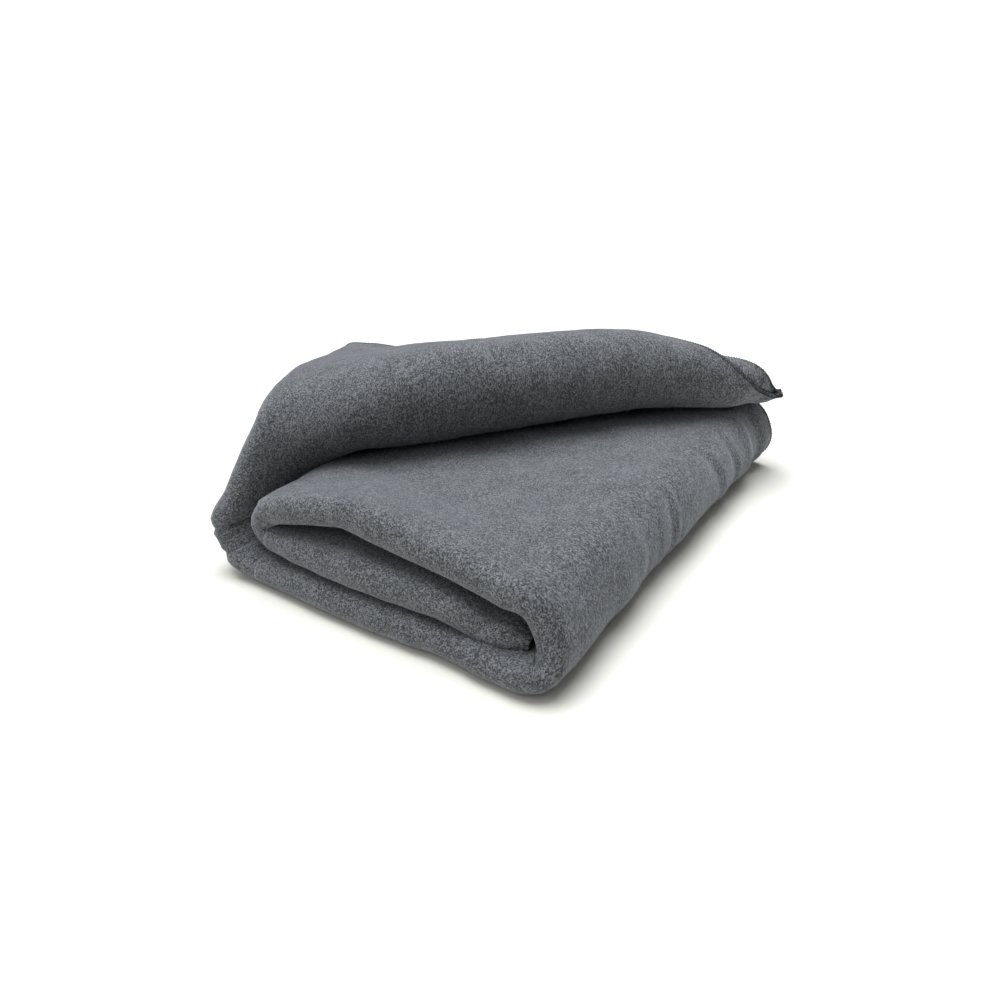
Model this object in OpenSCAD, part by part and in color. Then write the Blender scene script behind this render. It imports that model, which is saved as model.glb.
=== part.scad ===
// Folded throw blanket, lying on its folded bundle.
// One oblong of cloth is folded in half along its length into a two-ply strip, whose fold lies at
// the front and whose two free edges lie at the back. The strip is then wound into a flat bundle:
//   middle panel (the tucked-in end) - inner fold (left) - top panel - right fold - bottom panel
//   - left fold - flap.
// The flap's near corner is turned back along the bundle's diagonal over a thick soft roll.
// Frame: +X from the left fold to the right fold, +Y from the front fold to the free edges, +Z up.
// The origin is under the middle of the bounding box, on the surface that the bundle lies on.

/* [Bundle] */
// Width of the bundle over its two folded sides
bundle_w = 410; // [380:5:440]
// Length of the bundle, from the front fold to the free edges at the back
bundle_l = 598; // [560:2:640]

/* [Cloth] */
// Thickness of one ply of the cloth, with its pile and the air that its loose folds hold
ply_t = 15; // [12:0.5:15]
// Thickness of the strip, two plies and the slit between them
strip_t = 31; // [31:0.5:34]
// Clearance between one wind of the strip and the next
wind_gap = 0.4; // [0.3:0.1:1]

/* [Turned-back corner] */
// Distance from the bundle's middle to the diagonal where the roll starts, to the back left
roll_offset = 36; // [20:1:40]
// Radius of the roll, at the middle of the strip's thickness
roll_r = 39.5; // [34:0.5:44]
// Angle that the strip turns through in the roll
roll_turn = 192; // [182:1:194]
// How far the turned-back corner reaches past the bundle's left side
corner_reach = 90; // [60:5:95]

/* [Edge] */
// Radius of the overlock yarn bead along the cut edges
bead_r = 3; // [1.5:0.5:4]

/* [Hidden] */
$fn = 96;
big = 1200;

// The cloth is a dark grey melange, and the yarn on its edges is darker
cloth_colour = [0.25, 0.26, 0.28];
fold_colour = [0.22, 0.23, 0.25];
yarn_colour = [0.13, 0.13, 0.14];

// Heights of the winds, at the middle of the strip's thickness
half_t = strip_t / 2;
pitch = strip_t + wind_gap;
bottom_z = half_t;
middle_z = bottom_z + pitch;
top_z = middle_z + pitch;
flap_z = top_z + pitch;

// The bounding box is centred over the origin, and the turned-back corner reaches past the left
// side, so the bundle's own middle lies to the right of the origin
shift_x = corner_reach / 2;

// Folds: the right one joins the bottom and top panels, and both left ones share one centre
right_r = pitch;
inner_r = pitch / 2;
left_r = 1.5 * pitch;
left_z = bottom_z + left_r;
right_x = bundle_w / 2 - right_r - half_t;
left_x = -bundle_w / 2 + left_r + half_t;

// Edges of the strip across its width, less the bead on the free ones
front_y = -bundle_l / 2;
back_y = bundle_l / 2 - bead_r;
// The flap's cut end, before its corner is turned back, stops just short of the right fold's side
flap_end_x = bundle_w / 2 - bead_r - 2;

// The roll lies along the bundle's diagonal
diagonal = atan2(bundle_l, bundle_w);
roll_z = flap_z + roll_r;
roll_length = roll_r * roll_turn * PI / 180;

// Ends of the roll, as lengths along the diagonal at its foot and where it ends on top: the front
// fold and the cut end of the strip each climb round it as they would on a wound ribbon
function along_at_front(across) = (front_y + across * cos(diagonal)) / sin(diagonal);
function along_at_end(across) = (flap_end_x - across * sin(diagonal)) / cos(diagonal);
foot_across = -roll_offset;
top_across = roll_length - roll_offset;
climb = roll_r * (1 - cos(roll_turn));

// Cross-section of the strip: two plies and the fold between them, in (Y, Z) about mid-thickness
module strip_outline(t, back) {
    translate([front_y + half_t, 0]) circle(r = t);
    translate([front_y + half_t, -t]) square([back - front_y - half_t, 2 * t]);
}

module strip_section() {
    difference() {
        strip_outline(half_t, back_y);
        strip_outline(half_t - ply_t, back_y + 1);
    }
}

// Cross-section of the overlock beads on the two free edges of the strip
module bead_section() {
    for (side = [-1, 1])
        intersection() {
            translate([back_y, side * (half_t - ply_t / 2)]) circle(r = bead_r);
            translate([back_y, -half_t]) square([bead_r, strip_t]);
        }
}

// A straight run of a section, from x0 to x1 at height z
module run(x0, x1, z) {
    translate([x0, 0, z]) rotate([90, 0, 90]) linear_extrude(x1 - x0) children();
}

// Half a turn of a section about a line along Y, opening towards the middle of the bundle;
// side is 1 for a fold on the right and -1 for one on the left
module half_turn(x, z, r, side) {
    translate([x, 0, z]) rotate([-90, 0, 0]) rotate([0, 0, -90 * side])
        rotate_extrude(angle = 180) translate([r, 0]) rotate(90) children();
}

// Everything on one side of the roll's diagonal, measured from the bundle's middle: the solid
// lies over distances from low to high across it, and over z0 to z1
module diagonal_slab(low, high, z0, z1) {
    rotate(diagonal) translate([-big, -high, z0]) cube([2 * big, high - low, z1 - z0]);
}

// Moves the part of the flat strip beyond the roll to where the roll carries it
module over_the_roll() {
    rotate(diagonal)
        translate([0, roll_offset, roll_z]) rotate([-roll_turn, 0, 0]) translate([0, 0, -roll_r])
            translate([0, top_across, 0]) intersection() {
                rotate(-diagonal) children();
                translate([-big, -big - top_across, -big]) cube([2 * big, big, 2 * big]);
            }
}

// The corner's tip is soft, so it ends at the reach given and not in a point
module corner_limit() {
    translate([-bundle_w / 2 - corner_reach, -big, 0]) cube([big, 2 * big, big]);
}

module in_frame() {
    translate([shift_x, 0, 0]) children();
}

// A curved sheet of the roll between two radii, cut where the ribbon's own edges climb round it
module roll_sheet(r0, r1) {
    in_frame() intersection() {
        rotate(diagonal) translate([-big, roll_offset, roll_z]) rotate([90, 0, 90])
            linear_extrude(2 * big) arc_band(r0, r1);
        rotate(diagonal) translate([0, big, 0]) rotate([90, 0, 0])
            linear_extrude(2 * big) polygon([
                [along_at_front(foot_across), flap_z],
                [along_at_front(foot_across), flap_z - strip_t],
                [along_at_end(foot_across), flap_z - strip_t],
                [along_at_end(foot_across), flap_z],
                [along_at_end(top_across), flap_z + climb],
                [along_at_end(top_across), flap_z + climb + strip_t],
                [along_at_front(top_across), flap_z + climb + strip_t],
                [along_at_front(top_across), flap_z + climb]]);
        translate([-bundle_w / 2, front_y, 0]) cube([bundle_w, back_y - front_y, big]);
    }
}

// The band between two radii, from the foot of the roll round its outer side and over the top.
// It is drawn with its centre at the origin and the outer side towards -X
module arc_band(r0, r1) {
    difference() {
        intersection() {
            circle(r = r1);
            union() {
                translate([-2 * r1, -2 * r1]) square([2 * r1, 4 * r1]);
                polygon([[0, 0], [0, 2 * r1],
                    [2 * r1 * sin(roll_turn - 180), 2 * r1 * cos(roll_turn - 180)]]);
            }
        }
        circle(r = r0);
    }
}

// ---- the winds of the strip, from the bottom up ----

module bottom_panel() {
    color(cloth_colour) in_frame() run(left_x, right_x, bottom_z) strip_section();
}

module right_fold() {
    color(fold_colour) in_frame() half_turn(right_x, middle_z, right_r, 1) strip_section();
}

module top_panel() {
    color(cloth_colour) in_frame() run(left_x, right_x, top_z) strip_section();
}

module inner_fold() {
    color(fold_colour) in_frame() half_turn(left_x, left_z, inner_r, -1) strip_section();
}

// Its cut end lies tucked inside the right fold
module middle_panel() {
    color(cloth_colour) in_frame() run(left_x, right_x - bead_r, middle_z) strip_section();
}

// In front of the diagonal its top goes into the roll
module left_fold() {
    color(fold_colour) in_frame() difference() {
        half_turn(left_x, left_z, left_r, -1) strip_section();
        diagonal_slab(-roll_offset - wind_gap, big, flap_z - half_t - wind_gap, big);
    }
}

module flap_panel() {
    color(cloth_colour) in_frame() difference() {
        run(left_x, flap_end_x, flap_z) strip_section();
        diagonal_slab(-roll_offset, big, 0, big);
    }
}

// ---- the turned-back corner ----

module roll_outer_ply() {
    color(fold_colour) roll_sheet(roll_r + half_t - ply_t, roll_r + half_t);
}

module roll_inner_ply() {
    color(fold_colour) roll_sheet(roll_r - half_t, roll_r - half_t + ply_t);
}

module turnback_panel() {
    color(cloth_colour) in_frame() intersection() {
        over_the_roll() run(left_x, flap_end_x, 0) strip_section();
        corner_limit();
    }
}

// ---- the overlock yarn on the cut edges ----

module bottom_overlock() {
    color(yarn_colour) in_frame() run(left_x, right_x, bottom_z) bead_section();
}

module right_fold_overlock() {
    color(yarn_colour) in_frame() half_turn(right_x, middle_z, right_r, 1) bead_section();
}

module top_overlock() {
    color(yarn_colour) in_frame() run(left_x, right_x, top_z) bead_section();
}

module inner_fold_overlock() {
    color(yarn_colour) in_frame() half_turn(left_x, left_z, inner_r, -1) bead_section();
}

module middle_overlock() {
    color(yarn_colour) in_frame() run(left_x, right_x - bead_r, middle_z) bead_section();
}

module left_fold_overlock() {
    color(yarn_colour) in_frame() half_turn(left_x, left_z, left_r, -1) bead_section();
}

module flap_overlock() {
    color(yarn_colour) in_frame() difference() {
        run(left_x, flap_end_x, flap_z) bead_section();
        diagonal_slab(-roll_offset, big, 0, big);
    }
}

// The bead along a cut end of the strip: one run on each ply and a half turn round the front fold
module end_bead(x, z) {
    ply_r = half_t - ply_t / 2;
    translate([x, 0, z]) intersection() {
        union() {
            for (side = [-1, 1])
                translate([0, front_y + half_t, side * ply_r]) rotate([-90, 0, 0])
                    cylinder(r = bead_r, h = back_y - front_y - half_t);
            translate([0, front_y + half_t, 0]) rotate([0, 90, 0]) rotate([0, 0, 180])
                rotate_extrude(angle = 180) translate([ply_r, 0]) circle(r = bead_r);
        }
        translate([0, -big, -big]) cube([bead_r, 2 * big, 2 * big]);
    }
}

module tucked_end_overlock() {
    color(yarn_colour) in_frame() end_bead(right_x - bead_r, middle_z);
}

module turnback_end_overlock() {
    color(yarn_colour) in_frame() intersection() {
        over_the_roll() end_bead(flap_end_x, 0);
        corner_limit();
    }
}

bottom_panel();
right_fold();
top_panel();
inner_fold();
middle_panel();
left_fold();
flap_panel();
roll_outer_ply();
roll_inner_ply();
turnback_panel();
bottom_overlock();
right_fold_overlock();
top_overlock();
inner_fold_overlock();
middle_overlock();
left_fold_overlock();
flap_overlock();
tucked_end_overlock();
turnback_end_overlock();
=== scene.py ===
import math
import bpy
import numpy as np
from mathutils import Matrix, Vector


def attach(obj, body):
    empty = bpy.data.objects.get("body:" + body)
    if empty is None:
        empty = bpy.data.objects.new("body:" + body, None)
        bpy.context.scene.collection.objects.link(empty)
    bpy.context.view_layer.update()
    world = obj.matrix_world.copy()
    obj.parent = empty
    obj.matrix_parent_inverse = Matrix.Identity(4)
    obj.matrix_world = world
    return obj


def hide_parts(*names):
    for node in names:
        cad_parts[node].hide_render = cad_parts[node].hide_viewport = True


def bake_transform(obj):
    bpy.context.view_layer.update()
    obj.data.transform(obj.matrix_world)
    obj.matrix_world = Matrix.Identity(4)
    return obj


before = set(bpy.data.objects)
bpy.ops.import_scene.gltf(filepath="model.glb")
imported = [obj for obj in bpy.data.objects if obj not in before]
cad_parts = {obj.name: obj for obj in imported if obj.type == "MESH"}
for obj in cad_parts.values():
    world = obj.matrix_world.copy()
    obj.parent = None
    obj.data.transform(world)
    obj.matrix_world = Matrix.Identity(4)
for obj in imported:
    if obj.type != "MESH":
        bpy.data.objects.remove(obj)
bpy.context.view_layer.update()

# ---- The table it lies on, the light and the viewpoint --------------------------------------
# A white paper sweep under large soft lamps, seen from in front and to the right of the bundle
# and above it, as one looks down on a folded blanket on a shelf.
scene = bpy.context.scene
scene.view_settings.view_transform = "Standard"

floor_mesh = bpy.data.meshes.new("paper_sweep")
floor_mesh.from_pydata([(-60, -60, 0), (60, -60, 0), (60, 60, 0), (-60, 60, 0)], [], [(0, 1, 2, 3)])
floor = bpy.data.objects.new("paper_sweep", floor_mesh)
scene.collection.objects.link(floor)
paper = bpy.data.materials.new("white_paper")
paper.use_nodes = True
paper_shader = paper.node_tree.nodes["Principled BSDF"]
paper_shader.inputs["Base Color"].default_value = (0.91, 0.898, 0.84, 1)
paper_shader.inputs["Roughness"].default_value = 0.9
floor_mesh.materials.append(paper)

room = bpy.data.worlds.new("soft_room")
scene.world = room
room.use_nodes = True
glow = room.node_tree.nodes["Background"]
glow.inputs["Color"].default_value = (0.93, 0.97, 1.0, 1)
glow.inputs["Strength"].default_value = 0.03
white = room.node_tree.nodes.new("ShaderNodeBackground")
white.inputs["Color"].default_value = (1, 1, 1, 1)
white.inputs["Strength"].default_value = 1.2
seen = room.node_tree.nodes.new("ShaderNodeLightPath")
either = room.node_tree.nodes.new("ShaderNodeMixShader")
room.node_tree.links.new(seen.outputs["Is Camera Ray"], either.inputs["Fac"])
room.node_tree.links.new(glow.outputs["Background"], either.inputs[1])
room.node_tree.links.new(white.outputs["Background"], either.inputs[2])
room.node_tree.links.new(either.outputs["Shader"],
                         room.node_tree.nodes["World Output"].inputs["Surface"])


def softbox(name, falling, spread, energy, colour):
    """A large distant lamp: the way its light falls, how wide it is in degrees, and its power."""
    lamp = bpy.data.lights.new(name, "SUN")
    lamp.angle = math.radians(spread)
    lamp.energy = energy
    lamp.color = colour
    stand = bpy.data.objects.new(name, lamp)
    scene.collection.objects.link(stand)
    turned = Vector(falling).to_track_quat("-Z", "Y")
    stand.matrix_world = Matrix.LocRotScale(Vector((0, 0, 2)), turned, None)


softbox("overhead_softbox", (0.15, -0.15, -1.0), 50, 2.45, (0.96, 0.98, 1.0))
softbox("left_softbox", (0.6, -0.3, -1.0), 60, 1.15, (0.97, 0.985, 1.0))
softbox("right_softbox", (-0.5, 0.3, -1.0), 60, 0.35, (1.0, 0.99, 0.96))
softbox("front_softbox", (0.5, 0.8, -0.6), 60, 0.80, (1.0, 0.99, 0.97))
near_lamp = bpy.data.lights.new("back_softbox", "AREA")
near_lamp.shape = "DISK"
near_lamp.size = 0.6
near_lamp.energy = 2.5
near_lamp.color = (0.96, 0.98, 1.0)
near_stand = bpy.data.objects.new("back_softbox", near_lamp)
scene.collection.objects.link(near_stand)
near_stand.matrix_world = Matrix.Translation((-0.05, 0.28, 0.85))

eye = Vector((0.5257, -0.8104, 0.4649))
looking = Vector((-0.48922, 0.75579, -0.43523)).normalized()
lens = bpy.data.cameras.new("view")
lens.lens = 30.6
lens.sensor_width = 36
camera = bpy.data.objects.new("view", lens)
scene.collection.objects.link(camera)
camera.matrix_world = Matrix.LocRotScale(eye, looking.to_track_quat("-Z", "Y"), None)
scene.camera = camera

# ---- The folded strip ------------------------------------------------------------------------
# A brushed fleece throw, here 1.19 m wide and 1.56 m long, folded in half along its length into a
# two-ply strip and wound into a bundle. Centimetres from the bundle's middle, z up from the table.
loft = 3.1                  # thickness of the folded strip, two plies and the air between
ply = 0.5                   # thickness of one ply with its nap
layer_gap = 0.04            # from one wind to the next
pitch = loft + layer_gap
fold_line_y = -28.35        # middle of the soft front fold
free_edge_y = 29.3          # where the two cut edges lie
left_turn_x = -14.24        # where the left folds start to turn
right_turn_x = 15.81        # where the right fold starts to turn
tucked_end_x = 17.5         # the end that lies inside the right fold
flap_end_x = 19.9           # how far the flap reaches before its corner is turned back
diagonal = math.atan2(59.8, 41.0)
along_roll = np.array([math.cos(diagonal), math.sin(diagonal)])
across_roll = np.array([math.sin(diagonal), -math.cos(diagonal)])
bundle_to_frame = np.array([4.5, 0.0, 0.0])
front_round = 4.08          # length of cloth round the front fold, between the two plies
ply_slip = 4.7              # how far the inner ply runs past the outer one round the roll

run_lengths = [
    tucked_end_x - left_turn_x,             # middle panel
    math.pi * pitch / 2,                    # inner fold
    right_turn_x - left_turn_x,             # top panel
    math.pi * pitch,                        # right fold
    right_turn_x - left_turn_x,             # bottom panel
    math.pi * pitch * 1.5,                  # left fold
    flap_end_x - left_turn_x,               # flap, roll and turned-back corner
]
run_ends = np.cumsum([0.0] + run_lengths)
left_fold_start = run_ends[5]
flap_start = run_ends[6]
strip_end = run_ends[7]


def ease(value, low, high):
    t = np.clip((value - low) / (high - low), 0, 1)
    return t * t * (3 - 2 * t)


def through(points, value):
    """A smooth curve through given points (place, amount), flat beyond the first and last."""
    places, amounts = np.array(points, float).T
    fine = np.linspace(places[0], places[-1], 400)
    line = np.interp(fine, places, amounts)
    reach = max(3, int(400 * 0.35 / (len(places) - 1)))
    window = np.hanning(2 * reach + 1)
    window /= window.sum()
    padded = np.concatenate([np.full(reach, line[0]), line, np.full(reach, line[-1])])
    return np.interp(value, fine, np.convolve(padded, window, "valid"))


def wound(u, y):
    """Middle of the strip's thickness, wound flat, at length u along it and width y across."""
    bottom, middle, top = loft / 2, loft / 2 + pitch, loft / 2 + 2 * pitch
    x = np.zeros_like(u)
    z = np.zeros_like(u)
    for k in range(7):
        here = (u >= run_ends[k]) if k else np.ones_like(u, bool)
        s = (u - run_ends[k])[here]
        if k == 0:
            x[here], z[here] = tucked_end_x - s, middle
        elif k == 2:
            x[here], z[here] = left_turn_x + s, top
        elif k == 4:
            x[here], z[here] = right_turn_x - s, bottom
        elif k == 6:
            x[here], z[here] = left_turn_x + s, top + pitch
        else:
            radius = {1: pitch / 2, 3: pitch, 5: pitch * 1.5}[k]
            centre_z = {1: middle + pitch / 2, 3: middle, 5: bottom + pitch * 1.5}[k]
            side = {1: -1, 3: 1, 5: -1}[k]
            turn = np.clip(s / radius, 0, math.pi)
            middle_x = right_turn_x if k == 3 else left_turn_x
            x[here] = middle_x + side * radius * np.sin(turn)
            z[here] = centre_z + side * radius * np.cos(turn)
    return np.stack([x, y, z], -1)


# How the roll of the turned-back corner changes from its left end (-) to its right end (+)
roll_foot = [(-40, -3.8), (12, -3.8), (18, -2.9), (24, -0.9), (30, 0.3), (36, -2.0)]
roll_radius = [(-40, 5.55), (12, 5.5), (18, 5.1), (24, 4.25), (30, 3.2), (36, 2.3)]
roll_turn = math.radians(195.5)


def turned_back(x_flat, y_flat):
    """The flap beyond the diagonal, rolled over and laid back to the left."""
    flat = np.stack([x_flat, y_flat], -1)
    q = flat @ across_roll
    a = flat @ along_roll
    foot = through(roll_foot, a)
    outer = through(roll_radius, a)
    half = np.clip(0.3 * outer + 0.1, 0.3, loft / 2)
    radius = np.maximum(outer - half, 0.3)
    beyond = np.maximum(q - foot, 0)
    turn = np.minimum(beyond / radius, roll_turn)
    straight = beyond - turn * radius
    out = np.where(q < foot, q, foot + radius * np.sin(turn) + straight * np.cos(turn))
    up = radius * (1 - np.cos(turn)) + straight * np.sin(turn) - 0.5 * ease(a, 24, 36)
    level = loft / 2 + 3 * pitch - (loft / 2 - half) * ease(q, foot - 8, foot)
    stretch = 1.9 * ease(a, 27, 35)
    place = out[..., None] * across_roll + (a + stretch)[..., None] * along_roll
    return np.concatenate([place, (level + up)[..., None]], -1), q - foot


step = 0.5
u_outer = np.arange(left_fold_start - 4, strip_end + 5.01, step)
y_rows = np.linspace(fold_line_y, free_edge_y, 97)
U, Y = np.meshgrid(u_outer, y_rows, indexing="ij")
outer_wind = wound(U, Y)
flap_place, past_foot = turned_back(left_turn_x + U - flap_start, Y)
on_flap = U >= flap_start
outer_wind[on_flap] = flap_place[on_flap]
past_foot = np.where(on_flap, past_foot, -1)

# The front fold climbs at the left corner and runs over the roll's end to the hanging tip
front_edge = np.array([
    (-14.2, -28.35, 1.55), (-17.2, -28.6, 1.9), (-19.3, -29.3, 3.5), (-19.7, -29.7, 5.6),
    (-19.2, -28.2, 7.9), (-19.1, -26.4, 10.3), (-19.0, -24.4, 12.8), (-19.3, -22.4, 14.6),
    (-20.3, -20.0, 15.5), (-21.6, -17.0, 16.0), (-23.6, -12.0, 15.9), (-25.6, -6.8, 15.3),
    (-27.8, -1.2, 14.6), (-29.2, 2.4, 14.3), (-30.2, 4.9, 14.1), (-30.9, 6.9, 13.8)])


def smooth_path(points, count):
    """Catmull-Rom curve through the points, evenly spaced along its length."""
    ends = np.vstack([2 * points[0] - points[1], points, 2 * points[-1] - points[-2]])
    fine = []
    for k in range(len(points) - 1):
        p0, p1, p2, p3 = ends[k:k + 4]
        for t in np.linspace(0, 1, 24, endpoint=False):
            fine.append(0.5 * ((2 * p1) + (p2 - p0) * t + (2 * p0 - 5 * p1 + 4 * p2 - p3) * t ** 2
                               + (3 * p1 - p0 - 3 * p2 + p3) * t ** 3))
    fine = np.array(fine + [points[-1]])
    length = np.concatenate([[0], np.cumsum(np.linalg.norm(np.diff(fine, axis=0), axis=1))])
    at = np.linspace(0, length[-1], count)
    return np.stack([np.interp(at, length, fine[:, k]) for k in range(3)], -1)


first_free = int(np.searchsorted(u_outer, left_fold_start + 0.2))
outer_wind[first_free:, 0] = smooth_path(front_edge, len(u_outer) - first_free)

# Between that edge and the regular roll the cloth takes the smoothest shape it can
rows_free = int(np.searchsorted(y_rows, -12.5))
patch = outer_wind[:, :rows_free + 3].copy()
is_free = np.zeros(patch.shape, bool)
is_free[first_free:, 1:rows_free] = True


def bending(field):
    out = np.zeros_like(field)
    out[1:-1, 1:-1] = (field[:-2, 1:-1] + field[2:, 1:-1] + field[1:-1, :-2] + field[1:-1, 2:]
                       - 4 * field[1:-1, 1:-1])
    out[-1, 1:-1] = field[-1, :-2] + field[-1, 2:] - 2 * field[-1, 1:-1]
    return out


def bending_force(bent):
    out = np.zeros_like(bent)
    inside = bent[1:-1, 1:-1]
    out[:-2, 1:-1] += inside
    out[2:, 1:-1] += inside
    out[1:-1, :-2] += inside
    out[1:-1, 2:] += inside
    out[1:-1, 1:-1] -= 4 * inside
    last = bent[-1, 1:-1]
    out[-1, :-2] += last
    out[-1, 2:] += last
    out[-1, 1:-1] -= 2 * last
    return out


patch[is_free] = 0
force = -bending_force(bending(patch)) * is_free
answer = np.zeros_like(patch)
heading = force.copy()
size_now = np.sum(force ** 2)
for _ in range(6000):
    pulled = bending_force(bending(heading)) * is_free
    stride = size_now / np.sum(heading * pulled)
    answer += stride * heading
    force -= stride * pulled
    size_next = np.sum(force ** 2)
    if size_next < 1e-12:
        break
    heading = force + heading * (size_next / size_now)
    size_now = size_next
outer_wind[:, :rows_free + 3] = patch + answer


def smoothed(grid, times):
    for _ in range(times):
        inner = grid.copy()
        inner[1:-1, 1:-1] = (grid[1:-1, 1:-1] * 4 + grid[:-2, 1:-1] + grid[2:, 1:-1]
                             + grid[1:-1, :-2] + grid[1:-1, 2:]) / 8
        grid = inner
    return grid


outer_wind = smoothed(outer_wind, 4)
dip = np.exp(-((Y + 20.5) / 4.5) ** 2) * ease(U, strip_end - 12, strip_end - 1)
outer_wind[..., 2] -= 0.9 * dip

# The whole strip: the flat-wound part first, then the outer wind
u_inner = np.arange(0, left_fold_start - 4.01, 0.55)
UI, YI = np.meshgrid(u_inner, y_rows, indexing="ij")
inner_wind = wound(UI, YI)
mid = np.concatenate([inner_wind, outer_wind])
u_all = np.concatenate([u_inner, u_outer])
past_foot = np.concatenate([np.full(UI.shape, -1.0), past_foot])
Uall, Yall = np.meshgrid(u_all, y_rows, indexing="ij")

# The soft layers bow forward and lift a little along the front, and the right fold spreads
# out on the table, most of all at the near corner
nearness = 1 - ease(Yall, fold_line_y, fold_line_y + 11)
x_mid, z_mid = mid[..., 0], mid[..., 2]
on_top = (Uall > run_ends[1]) & (Uall < run_ends[4])
top_lift = through([(-18, -1.2), (-15, -.5), (-12, .4), (-8.5, 1.2), (-4.4, 1.9), (-1.9, 1.7),
                    (4, 1.1), (9.6, .6), (14.8, -.2), (18, 0)], x_mid)
top_recess = through([(-12, 0), (-8, .5), (-4.4, 1.0), (0, .8), (6, .5), (12, .2), (15, 0)],
                     x_mid)
bow = np.clip(1 - (x_mid / 22) ** 2, 0, 1)
top_share = nearness * ease(z_mid, loft / 2 + pitch * 1.2, loft / 2 + pitch * 1.9) * on_top
bottom_share = nearness * (1 - ease(z_mid, loft * 0.5, loft * 1.3)) * (Uall > run_ends[3])
on_middle = Uall < run_ends[1]
middle_share = nearness * on_middle * ease(x_mid, -16, -10)
drooping = nearness * ease(x_mid, 8, 14) * on_middle
on_right = (Uall > run_ends[2]) & (Uall < left_fold_start)
low = 1 - ease(z_mid, 1.0, 6.5)
corner = ease(x_mid, 8, 18) * (1 - ease(Yall, -27, -9)) * low * on_right
flare = ease(x_mid, 15, 18) * low * on_right
mid[..., 2] += top_lift * top_share - 1.2 * drooping
mid[..., 1] += top_recess * top_share
mid[..., 1] -= (0.9 + 1.2 * bow) * bottom_share + 1.0 * bow * middle_share + 1.2 * corner
mid[..., 0] += 0.9 * flare + 1.2 * corner + 0.7 * nearness * on_top * (x_mid < left_turn_x)

slope_u = np.gradient(mid, axis=0)
slope_y = np.gradient(mid, axis=1)
facing = np.cross(slope_u, slope_y)
facing /= np.linalg.norm(facing, axis=-1, keepdims=True) + 1e-9
half_open = (loft - ply) / 2 - 0.35 * ease(Yall, fold_line_y + 3, free_edge_y)
flat_xy = np.stack([left_turn_x + Uall - flap_start, Yall], -1)
outer_here = through(roll_radius, flat_xy @ along_roll)
thin = np.clip(0.3 * outer_here + 0.1, 0.3, loft / 2) - ply / 2
near_roll = ease(flat_xy @ across_roll, -12, -4) * (Uall > flap_start)
half_open = half_open * (1 - near_roll) + np.minimum(half_open, thin) * near_roll
half_open *= 0.42 + 0.58 * ease(Uall, 0, 2.4)
half_open *= 1 - 0.45 * ease(Yall, free_edge_y - 4, free_edge_y) * (past_foot < -2)


def slid(values, amount):
    """Reads a grid a little further on across the roll, by an amount that varies over it."""
    at_u = np.interp(Uall + amount * across_roll[0], u_all, np.arange(len(u_all)))
    at_y = np.clip((Yall + amount * across_roll[1] - fold_line_y) / (y_rows[1] - y_rows[0]),
                   0, len(y_rows) - 1)
    low_u = np.minimum(at_u.astype(int), len(u_all) - 2)
    low_y = np.minimum(at_y.astype(int), len(y_rows) - 2)
    share_u = (at_u - low_u)[..., None]
    share_y = (at_y - low_y)[..., None]
    near = values[low_u, low_y] * (1 - share_y) + values[low_u, low_y + 1] * share_y
    far = values[low_u + 1, low_y] * (1 - share_y) + values[low_u + 1, low_y + 1] * share_y
    return near * (1 - share_u) + far * share_u


creep = ply_slip * ease(flat_xy @ across_roll, 0, 5) * ease(Yall, fold_line_y, fold_line_y + 16)
creep = creep * (Uall > flap_start)
closing = ease(Uall, strip_end - 9, strip_end - 1)
closing *= ease(Yall, fold_line_y + 2, fold_line_y + 10)
inner_open = half_open * (1 - closing) + (0.56 - half_open) * closing
keep = u_all <= strip_end + 0.01
lower_ply = (mid - facing * half_open[..., None])[keep]
upper_ply = (slid(mid, creep) + slid(facing, creep) * inner_open[..., None])[keep]
u_all = u_all[keep]
turn_count = 9
front = mid[keep][:, 0]
front_facing = facing[keep][:, 0]
outward = front - mid[keep][:, 2]
outward -= front_facing * np.sum(outward * front_facing, -1, keepdims=True)
outward /= np.linalg.norm(outward, axis=-1, keepdims=True)
bulb = []
for k in range(1, turn_count):
    angle = math.pi * k / turn_count - math.pi / 2
    bulb.append(front + half_open[keep][:, :1] * (math.cos(angle) * outward
                                                  + math.sin(angle) * front_facing))
sheet = np.concatenate([lower_ply[:, ::-1], np.stack(bulb, 1), upper_ply], axis=1)
rows_one = len(y_rows)
w_all = np.concatenate([
    -(y_rows[::-1] - fold_line_y) - front_round / 2,
    (np.arange(1, turn_count) / turn_count - 0.5) * front_round,
    (y_rows - fold_line_y) + front_round / 2])
past = past_foot[keep]
height = mid[keep][..., 2]

sheet_u = np.gradient(sheet, axis=0)
sheet_w = np.gradient(sheet, axis=1)
sheet_normal = np.cross(sheet_u, sheet_w)
sheet_normal /= np.linalg.norm(sheet_normal, axis=-1, keepdims=True) + 1e-9


def swell(points, seed, wave, count=14):
    """Slow, even unevenness of a soft surface: a sum of waves in fixed random directions."""
    chance = np.random.default_rng(seed)
    total = np.zeros(points.shape[:-1])
    for _ in range(count):
        heading = chance.normal(size=3)
        heading *= 2 * math.pi / (np.linalg.norm(heading) * wave * chance.uniform(0.7, 1.6))
        total += np.sin(points @ heading + chance.uniform(0, 2 * math.pi))
    return total / math.sqrt(count)


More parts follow.
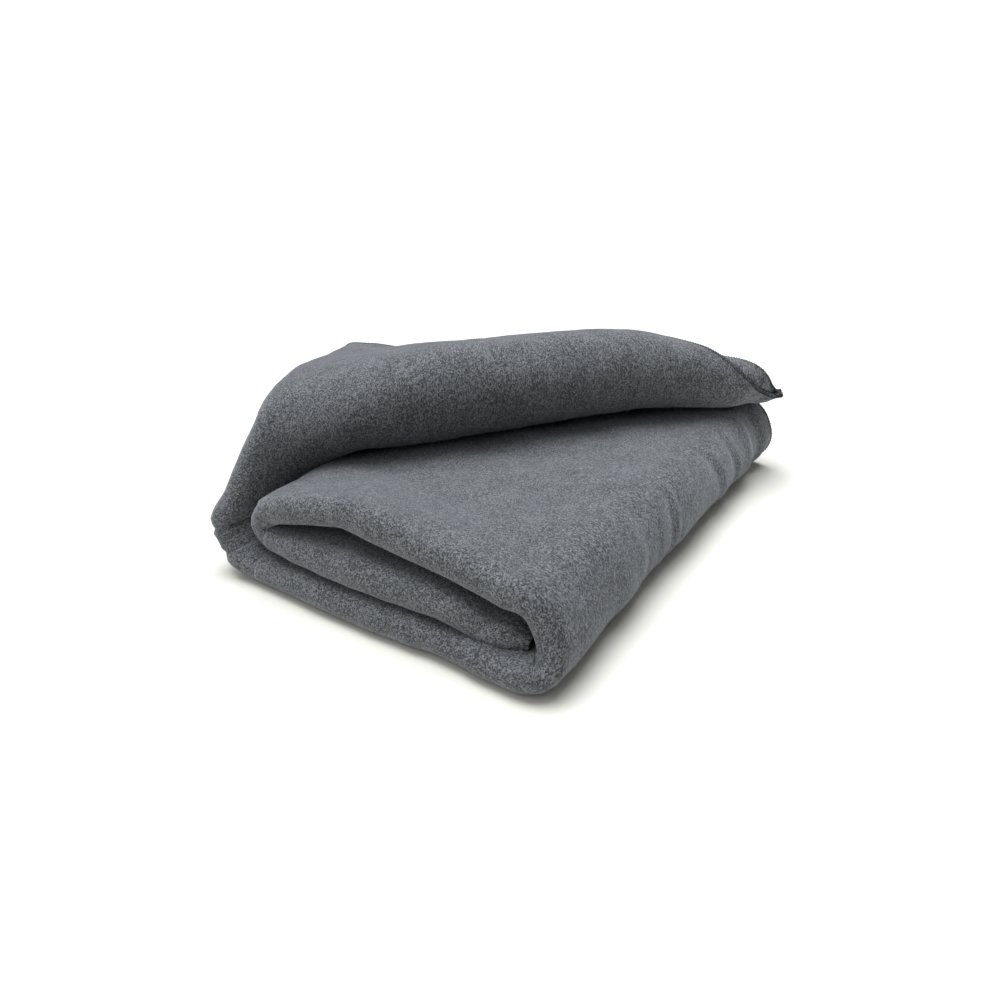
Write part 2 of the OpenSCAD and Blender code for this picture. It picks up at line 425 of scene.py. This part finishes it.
sheet += sheet_normal * (0.10 * swell(sheet, 3, 9.0) + 0.035 * swell(sheet, 4, 3.2))[..., None]
right_side = ease(sheet[..., 0], 16.5, 19.0)
for crease_y, lean, width, depth in [
        (-14.0, 0.10, 0.6, 0.05), (-11.2, 0.25, 0.5, 0.10), (-8.3, 0.25, 0.5, 0.10),
        (-4.6, 0.3, 0.6, 0.22), (-2.4, 0.2, 0.5, 0.10), (9.5, -0.3, 0.8, 0.16),
        (15.0, -0.2, 0.8, 0.2), (20.5, 0.1, 1.0, -0.25), (24.5, 0.1, 1.1, 0.3)]:
    off = sheet[..., 1] - crease_y - lean * (sheet[..., 2] - 5)
    shape = np.exp(-(off / width) ** 2) - 0.45 * np.exp(-((off - 1.6 * width) / width) ** 2)
    sheet -= sheet_normal * (depth * right_side * shape)[..., None]
# Two short pleats where the front fold is pinched at the left corner
left_corner = (1 - ease(sheet[..., 0], -16.5, -13.0)) * (1 - ease(sheet[..., 1], -25, -17))
left_corner *= ease(u_all, left_fold_start - 3, left_fold_start)[:, None]
for pleat_z, climbing, width, depth in [(5.1, 0.22, 0.36, 0.48), (1.9, 0.62, 0.36, 0.42)]:
    off = sheet[..., 2] - pleat_z - climbing * (sheet[..., 0] + 19.5)
    sheet -= sheet_normal * (depth * left_corner * np.exp(-(off / width) ** 2))[..., None]
sheet_normal = np.cross(np.gradient(sheet, axis=0), np.gradient(sheet, axis=1))
sheet_normal /= np.linalg.norm(sheet_normal, axis=-1, keepdims=True) + 1e-9
face_out = (sheet + sheet_normal * ply / 2 + bundle_to_frame) * 0.01
face_in = (sheet - sheet_normal * ply / 2 + bundle_to_frame) * 0.01
table_gap = 0.0003          # metres: the cloth rests on the table and doesn't dip into it
pressed_ply = 0.003         # metres: the least thickness of the ply it lies on
face_out[..., 2] = np.maximum(face_out[..., 2], table_gap)
face_in[..., 2] = np.maximum(face_in[..., 2], table_gap + pressed_ply)

# Which body each bit of the strip belongs to, cell by cell
tip = np.array([-0.42 * across_roll[0], -0.42 * across_roll[1], 0.91])
corner_climb = 19.5         # along tip: above this the cloth moves with the turned-back corner
roll_height = 11.0          # the front fold belongs to the roll above this height
front_part_y = -12.0        # and in front of this line
row_of = np.concatenate([
    np.arange(rows_one)[::-1], np.zeros(turn_count - 1, int), np.arange(rows_one)])
cell_row = np.minimum(row_of[:-1], row_of[1:])
mid_kept = mid[keep]
climb = mid_kept @ tip
u_cell = (u_all[:-1] + u_all[1:]) / 2
region = np.zeros((len(u_all) - 1, len(w_all) - 1), int)
for i in range(len(u_cell)):
    for_row_past = past[i][cell_row]
    for_row_climb = climb[i][cell_row]
    for_row_height = height[i][cell_row]
    front_part = y_rows[cell_row] < front_part_y
    if u_cell[i] < left_fold_start:
        region[i] = 0
        continue
    base = np.where(u_cell[i] < flap_start, 1, 2)
    rolled = (for_row_past >= 0) | (front_part & (for_row_height > roll_height))
    region[i] = np.where(rolled, 3, base)
    region[i] = np.where(rolled & (for_row_climb >= corner_climb), 4, region[i])


def cloth_piece(name, which):
    """One body's share of the sheet as a closed shell, with the nap direction as its UV map."""
    cells = np.argwhere(region == which)
    wide = len(w_all)
    corners = cells[:, 0] * wide + cells[:, 1]
    quads = np.stack([corners, corners + wide, corners + wide + 1, corners + 1], -1)
    used, inverse = np.unique(quads, return_inverse=True)
    quads = inverse.reshape(-1, 4)
    half = len(used)
    edges = np.concatenate([quads[:, [k, (k + 1) % 4]] for k in range(4)])
    key = np.sort(edges, axis=1) @ np.array([half, 1])
    _, first, counts = np.unique(key, return_index=True, return_counts=True)
    rim = edges[first[counts == 1]]
    rim_quads = np.stack([rim[:, 1], rim[:, 0], rim[:, 0] + half, rim[:, 1] + half], -1)
    faces = np.concatenate([quads, quads[:, ::-1] + half, rim_quads])
    points = np.concatenate([face_out.reshape(-1, 3)[used], face_in.reshape(-1, 3)[used]])
    mesh = bpy.data.meshes.new(name)
    mesh.from_pydata(points.tolist(), [], faces.tolist())
    along, across = np.divmod(used, wide)
    spot = np.stack([u_all[along], w_all[across]], -1) * 0.01
    spot = np.concatenate([spot, spot + np.array([0.0, 3.0])])
    uv = mesh.uv_layers.new(name="cloth")
    uv.data.foreach_set("uv", spot[faces.reshape(-1)].reshape(-1).astype(np.float32))
    mesh.polygons.foreach_set("use_smooth", np.ones(len(faces), bool))
    normals = sheet_normal.reshape(-1, 3)[used]
    vertex_normals = np.concatenate([normals, -normals])
    loops = vertex_normals[faces.reshape(-1)]
    rim_start = (len(quads) * 2) * 4
    rim_flat = points[rim_quads]
    rim_normal = np.cross(rim_flat[:, 1] - rim_flat[:, 0], rim_flat[:, 3] - rim_flat[:, 0])
    rim_normal /= np.linalg.norm(rim_normal, axis=-1, keepdims=True) + 1e-12
    loops[rim_start:] = np.repeat(rim_normal, 4, axis=0)
    mesh.normals_split_custom_set(loops.tolist())
    piece = bpy.data.objects.new(name, mesh)
    scene.collection.objects.link(piece)
    return piece


# ---- The fleece ------------------------------------------------------------------------------
# Brushed melange polyester: dark and light fibres spun together, knitted and raised into a short
# nap on both faces. One cloth makes the whole throw.
def wool_like(name, colours, grain, roughness, sheen, relief):
    material = bpy.data.materials.new(name)
    material.use_nodes = True
    tree = material.node_tree
    shader = tree.nodes["Principled BSDF"]
    shader.inputs["Roughness"].default_value = roughness
    shader.inputs["Specular IOR Level"].default_value = 0.15
    shader.inputs["Sheen Weight"].default_value = sheen
    shader.inputs["Sheen Roughness"].default_value = 0.45
    shader.inputs["Sheen Tint"].default_value = (0.85, 0.9, 1.0, 1)

    def node(kind, **settings):
        made = tree.nodes.new(kind)
        for key, value in settings.items():
            setattr(made, key, value)
        return made

    def join(a, b):
        tree.links.new(a, b)

    cloth_map = node("ShaderNodeUVMap", uv_map="cloth")

    def noise(scale, detail, stretch=(1, 1, 1)):
        placed = node("ShaderNodeMapping")
        placed.inputs["Scale"].default_value = stretch
        join(cloth_map.outputs["UV"], placed.inputs["Vector"])
        made = node("ShaderNodeTexNoise")
        made.inputs["Scale"].default_value = scale
        made.inputs["Detail"].default_value = detail
        made.inputs["Roughness"].default_value = 0.6
        join(placed.outputs["Vector"], made.inputs["Vector"])
        return made.outputs["Fac"]

    def sum_of(a, share_a, b, share_b):
        left = node("ShaderNodeMath", operation="MULTIPLY")
        left.inputs[1].default_value = share_a
        join(a, left.inputs[0])
        right = node("ShaderNodeMath", operation="MULTIPLY_ADD")
        right.inputs[1].default_value = share_b
        join(b, right.inputs[0])
        join(left.outputs[0], right.inputs[2])
        return right.outputs[0]

    speck = node("ShaderNodeTexVoronoi", voronoi_dimensions="2D")
    speck.inputs["Scale"].default_value = grain * 1.05
    join(cloth_map.outputs["UV"], speck.inputs["Vector"])
    each_speck = node("ShaderNodeSeparateColor")
    join(speck.outputs["Color"], each_speck.inputs["Color"])
    fleck = noise(grain, 2.0)
    fibre = noise(grain * 2.1, 3.0, (1, 0.45, 1))
    tuft = noise(grain * 0.34, 2.0)
    cloud = noise(grain * 0.05, 2.0)
    fine = sum_of(fleck, 0.38, fibre, 0.22)
    coarse = sum_of(tuft, 0.13, cloud, 0.09)
    mixed = sum_of(sum_of(fine, 1.0, coarse, 1.0), 1.0, each_speck.outputs["Red"], 0.18)
    ramp = node("ShaderNodeValToRGB")
    ramp.color_ramp.interpolation = "B_SPLINE"
    stops = ramp.color_ramp.elements
    stops[0].position, stops[0].color = 0.36, colours[0]
    stops[1].position, stops[1].color = 0.64, colours[2]
    middle = stops.new(0.5)
    middle.color = colours[1]
    join(mixed, ramp.inputs["Fac"])
    join(ramp.outputs["Color"], shader.inputs["Base Color"])
    bump = node("ShaderNodeBump")
    bump.inputs["Strength"].default_value = 0.55
    bump.inputs["Distance"].default_value = relief
    join(sum_of(fibre, 0.4, tuft, 0.6), bump.inputs["Height"])
    join(bump.outputs["Normal"], shader.inputs["Normal"])
    return material


fleece = wool_like("heather_fleece", [(0.018, 0.019, 0.022, 1), (0.086, 0.091, 0.100, 1),
                                      (0.29, 0.302, 0.320, 1)], 820, 0.95, 0.4, 0.0008)

# ---- Overlock on the cut edges ---------------------------------------------------------------
# Every cut edge is whipped over with a thick dark yarn: a needle line a few millimetres in, and
# a loop round the rim at each stitch, so that the fleece can't fray.
yarn = wool_like("overlock_yarn", [(0.012, 0.012, 0.013, 1), (0.028, 0.029, 0.032, 1),
                                   (0.075, 0.078, 0.084, 1)], 900, 0.8, 0.12, 0.0004)
stitch_path = np.array([
    (-0.40, 0.22, 0.27), (-0.40, -0.08, 0.30), (-0.20, -0.05, 0.33), (0.02, 0.0, 0.25),
    (0.10, 0.03, 0.0), (0.02, 0.06, -0.25), (-0.20, 0.10, -0.33), (-0.40, 0.14, -0.28)]) * 0.01
yarn_radius = 0.00042
stitch_pitch = 0.0033


def stitch_loop():
    sides = 5
    points = []
    faces = []
    for k, spot in enumerate(stitch_path):
        ahead = stitch_path[min(k + 1, len(stitch_path) - 1)] - stitch_path[max(k - 1, 0)]
        ahead /= np.linalg.norm(ahead)
        side = np.cross(ahead, (0, 0, 1) if abs(ahead[2]) < 0.9 else (1, 0, 0))
        side /= np.linalg.norm(side)
        other = np.cross(ahead, side)
        for n in range(sides):
            turn = 2 * math.pi * n / sides
            points.append(spot + yarn_radius * (math.cos(turn) * side + math.sin(turn) * other))
    for k in range(len(stitch_path) - 1):
        for n in range(sides):
            m = (n + 1) % sides
            faces.append((k * sides + n, k * sides + m, (k + 1) * sides + m, (k + 1) * sides + n))
    faces.append(tuple(range(sides))[::-1])
    faces.append(tuple(range((len(stitch_path) - 1) * sides, len(stitch_path) * sides)))
    mesh = bpy.data.meshes.new("stitch_loop")
    mesh.from_pydata([tuple(p) for p in points], [], faces)
    return bpy.data.objects.new("stitch_loop", mesh)


one_stitch = stitch_loop()


def overlock_tree():
    tree = bpy.data.node_groups.new("overlock", "GeometryNodeTree")
    face = tree.interface
    face.new_socket("Edges", in_out="INPUT", socket_type="NodeSocketGeometry")
    face.new_socket("Stitch pitch", in_out="INPUT", socket_type="NodeSocketFloat")
    face.new_socket("Stitch", in_out="INPUT", socket_type="NodeSocketObject")
    face.new_socket("Yarn", in_out="INPUT", socket_type="NodeSocketMaterial")
    face.new_socket("Stitches", in_out="OUTPUT", socket_type="NodeSocketGeometry")
    made = {}
    for key, kind in {
            "in": "NodeGroupInput", "out": "NodeGroupOutput", "curve": "GeometryNodeMeshToCurve",
            "even": "GeometryNodeResampleCurve", "place": "GeometryNodeInstanceOnPoints",
            "stitch": "GeometryNodeObjectInfo", "rim": "GeometryNodeInputNamedAttribute",
            "up": "GeometryNodeInputNamedAttribute", "turn": "FunctionNodeAxesToRotation",
            "real": "GeometryNodeRealizeInstances", "paint": "GeometryNodeSetMaterial"}.items():
        made[key] = tree.nodes.new(kind)
    made["even"].mode = "LENGTH"
    for key, name in (("rim", "outwards"), ("up", "face_up")):
        made[key].data_type = "FLOAT_VECTOR"
        made[key].inputs["Name"].default_value = name
    made["turn"].primary_axis = "X"
    made["turn"].secondary_axis = "Z"

    def join(a, output, b, to):
        tree.links.new(made[a].outputs[output], made[b].inputs[to])

    join("in", "Edges", "curve", "Mesh")
    join("curve", "Curve", "even", "Curve")
    join("in", "Stitch pitch", "even", "Length")
    join("even", "Curve", "place", "Points")
    join("in", "Stitch", "stitch", "Object")
    join("stitch", "Geometry", "place", "Instance")
    join("rim", "Attribute", "turn", "Primary Axis")
    join("up", "Attribute", "turn", "Secondary Axis")
    join("turn", "Rotation", "place", "Rotation")
    join("place", "Instances", "real", "Geometry")
    join("real", "Geometry", "paint", "Geometry")
    join("in", "Yarn", "paint", "Material")
    join("paint", "Geometry", "out", "Stitches")
    return tree


overlock = overlock_tree()
middle_face = (sheet + bundle_to_frame) * 0.01


def edge_line(i_line, j_line, i_within, j_within):
    """Points of one cut edge with its outward direction and its cloth's upper side."""
    rim = middle_face[i_line, j_line]
    outwards = rim - middle_face[i_within, j_within]
    up = sheet_normal[i_line, j_line]
    outwards -= up * np.sum(outwards * up, -1, keepdims=True)
    outwards /= np.linalg.norm(outwards, axis=-1, keepdims=True) + 1e-12
    return rim, outwards, up


def overlocked(name, which):
    """All the overlock stitches of one body, as one plain mesh."""
    points, outs, ups, edges = [], [], [], []
    rows, columns = len(u_all), len(w_all)
    i = np.arange(rows)
    j = np.arange(columns)
    lines = [(edge_line(i, i * 0, i, i * 0 + 1), region[np.minimum(i, rows - 2), 0]),
             (edge_line(i, i * 0 + columns - 1, i, i * 0 + columns - 2),
              region[np.minimum(i, rows - 2), columns - 2]),
             (edge_line(j * 0, j, j * 0 + 1, j), region[0, np.minimum(j, columns - 2)]),
             (edge_line(j * 0 + rows - 1, j, j * 0 + rows - 2, j),
              region[rows - 2, np.minimum(j, columns - 2)])]
    for (rim, outwards, up), owner in lines:
        chosen = owner == which
        previous = False
        for k in range(len(rim)):
            if chosen[k] or (k and chosen[k - 1]):
                points.append(rim[k])
                outs.append(outwards[k])
                ups.append(up[k])
                if previous:
                    edges.append((len(points) - 2, len(points) - 1))
                previous = True
            else:
                previous = False
    mesh = bpy.data.meshes.new(name + "_edges")
    mesh.from_pydata([tuple(p) for p in points], edges, [])
    for label, values in (("outwards", outs), ("face_up", ups)):
        stored = mesh.attributes.new(label, "FLOAT_VECTOR", "POINT")
        stored.data.foreach_set("vector", np.array(values, np.float32).reshape(-1))
    carrier = bpy.data.objects.new(name + "_edges", mesh)
    scene.collection.objects.link(carrier)
    sewing = carrier.modifiers.new("overlock", "NODES")
    sewing.node_group = overlock
    sizes = {"Stitch pitch": stitch_pitch, "Stitch": one_stitch, "Yarn": yarn}
    for socket in overlock.interface.items_tree:
        if socket.in_out == "INPUT" and socket.name in sizes:
            sewing[socket.identifier] = sizes[socket.name]
    view = bpy.context.evaluated_depsgraph_get()
    plain = bpy.data.meshes.new_from_object(carrier.evaluated_get(view))
    bpy.data.objects.remove(carrier)
    plain.name = name
    for polygon in plain.polygons:
        polygon.use_smooth = True
    spots = np.array([v.co for v in plain.vertices])
    uv = plain.uv_layers.get("cloth") or plain.uv_layers.new(name="cloth")
    corner_of = np.empty(len(plain.loops), int)
    plain.loops.foreach_get("vertex_index", corner_of)
    flat = np.stack([spots[:, 0] + spots[:, 1], spots[:, 2] + spots[:, 1] * 0.6], -1)
    uv.data.foreach_set("uv", flat[corner_of].reshape(-1).astype(np.float32))
    piece = bpy.data.objects.new(name, plain)
    scene.collection.objects.link(piece)
    return piece


# ---- The bundle ------------------------------------------------------------------------------
# The lower winds of the strip: the middle, top and bottom panels and the folds between them. They
# lie on the table one on another, held by their own weight.
bundle_cloth = cloth_piece("bundle_cloth", 0)
bundle_cloth.data.materials.append(fleece)
bundle_overlock = overlocked("bundle_overlock", 0)
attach(bundle_cloth, "bundle")
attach(bundle_overlock, "bundle")
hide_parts("bottom_panel", "right_fold", "top_panel", "inner_fold", "middle_panel")
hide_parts("bottom_overlock", "right_fold_overlock", "top_overlock",
            "inner_fold_overlock", "middle_overlock", "tucked_end_overlock")

# ---- The left fold ---------------------------------------------------------------------------
# Where the bottom panel turns up and over into the flap. The same cloth, bent round the layers it
# wraps.
left_fold_cloth = cloth_piece("left_fold_cloth", 1)
left_fold_cloth.data.materials.append(fleece)
left_fold_stitching = overlocked("left_fold_stitching", 1)
for piece in (left_fold_cloth, left_fold_stitching):
    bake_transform(piece)
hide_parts("left_fold")
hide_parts("left_fold_overlock")

# ---- The flap --------------------------------------------------------------------------------
# The last panel of the strip, lying on the top panel as far as the diagonal where its corner
# rolls back. It is lifted by hand, turning about the left fold.
flap_cloth = cloth_piece("flap_cloth", 2)
flap_cloth.data.materials.append(fleece)
flap_stitching = overlocked("flap_stitching", 2)
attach(flap_cloth, "flap")
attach(flap_stitching, "flap")
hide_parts("flap_panel")
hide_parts("flap_overlock")

# ---- The roll of the turned-back corner ------------------------------------------------------
# The flap's near corner comes up and over in a loose roll along the diagonal, both plies
# together; nothing holds it but the weight of the corner behind it.
roll_cloth = cloth_piece("roll_cloth", 3)
roll_cloth.data.materials.append(fleece)
roll_stitching = overlocked("roll_stitching", 3)
for piece in (roll_cloth, roll_stitching):
    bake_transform(piece)
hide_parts("roll_outer_ply", "roll_inner_ply")

# ---- The corner laid back --------------------------------------------------------------------
# The part of the flap beyond the roll, lying on the flap and hanging over the left end. It is
# folded forward again by hand, turning about the roll.
corner_cloth = cloth_piece("corner_cloth", 4)
corner_cloth.data.materials.append(fleece)
corner_stitching = overlocked("corner_stitching", 4)
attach(corner_cloth, "turnback")
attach(corner_stitching, "turnback")
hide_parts("turnback_panel")
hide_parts("turnback_end_overlock")
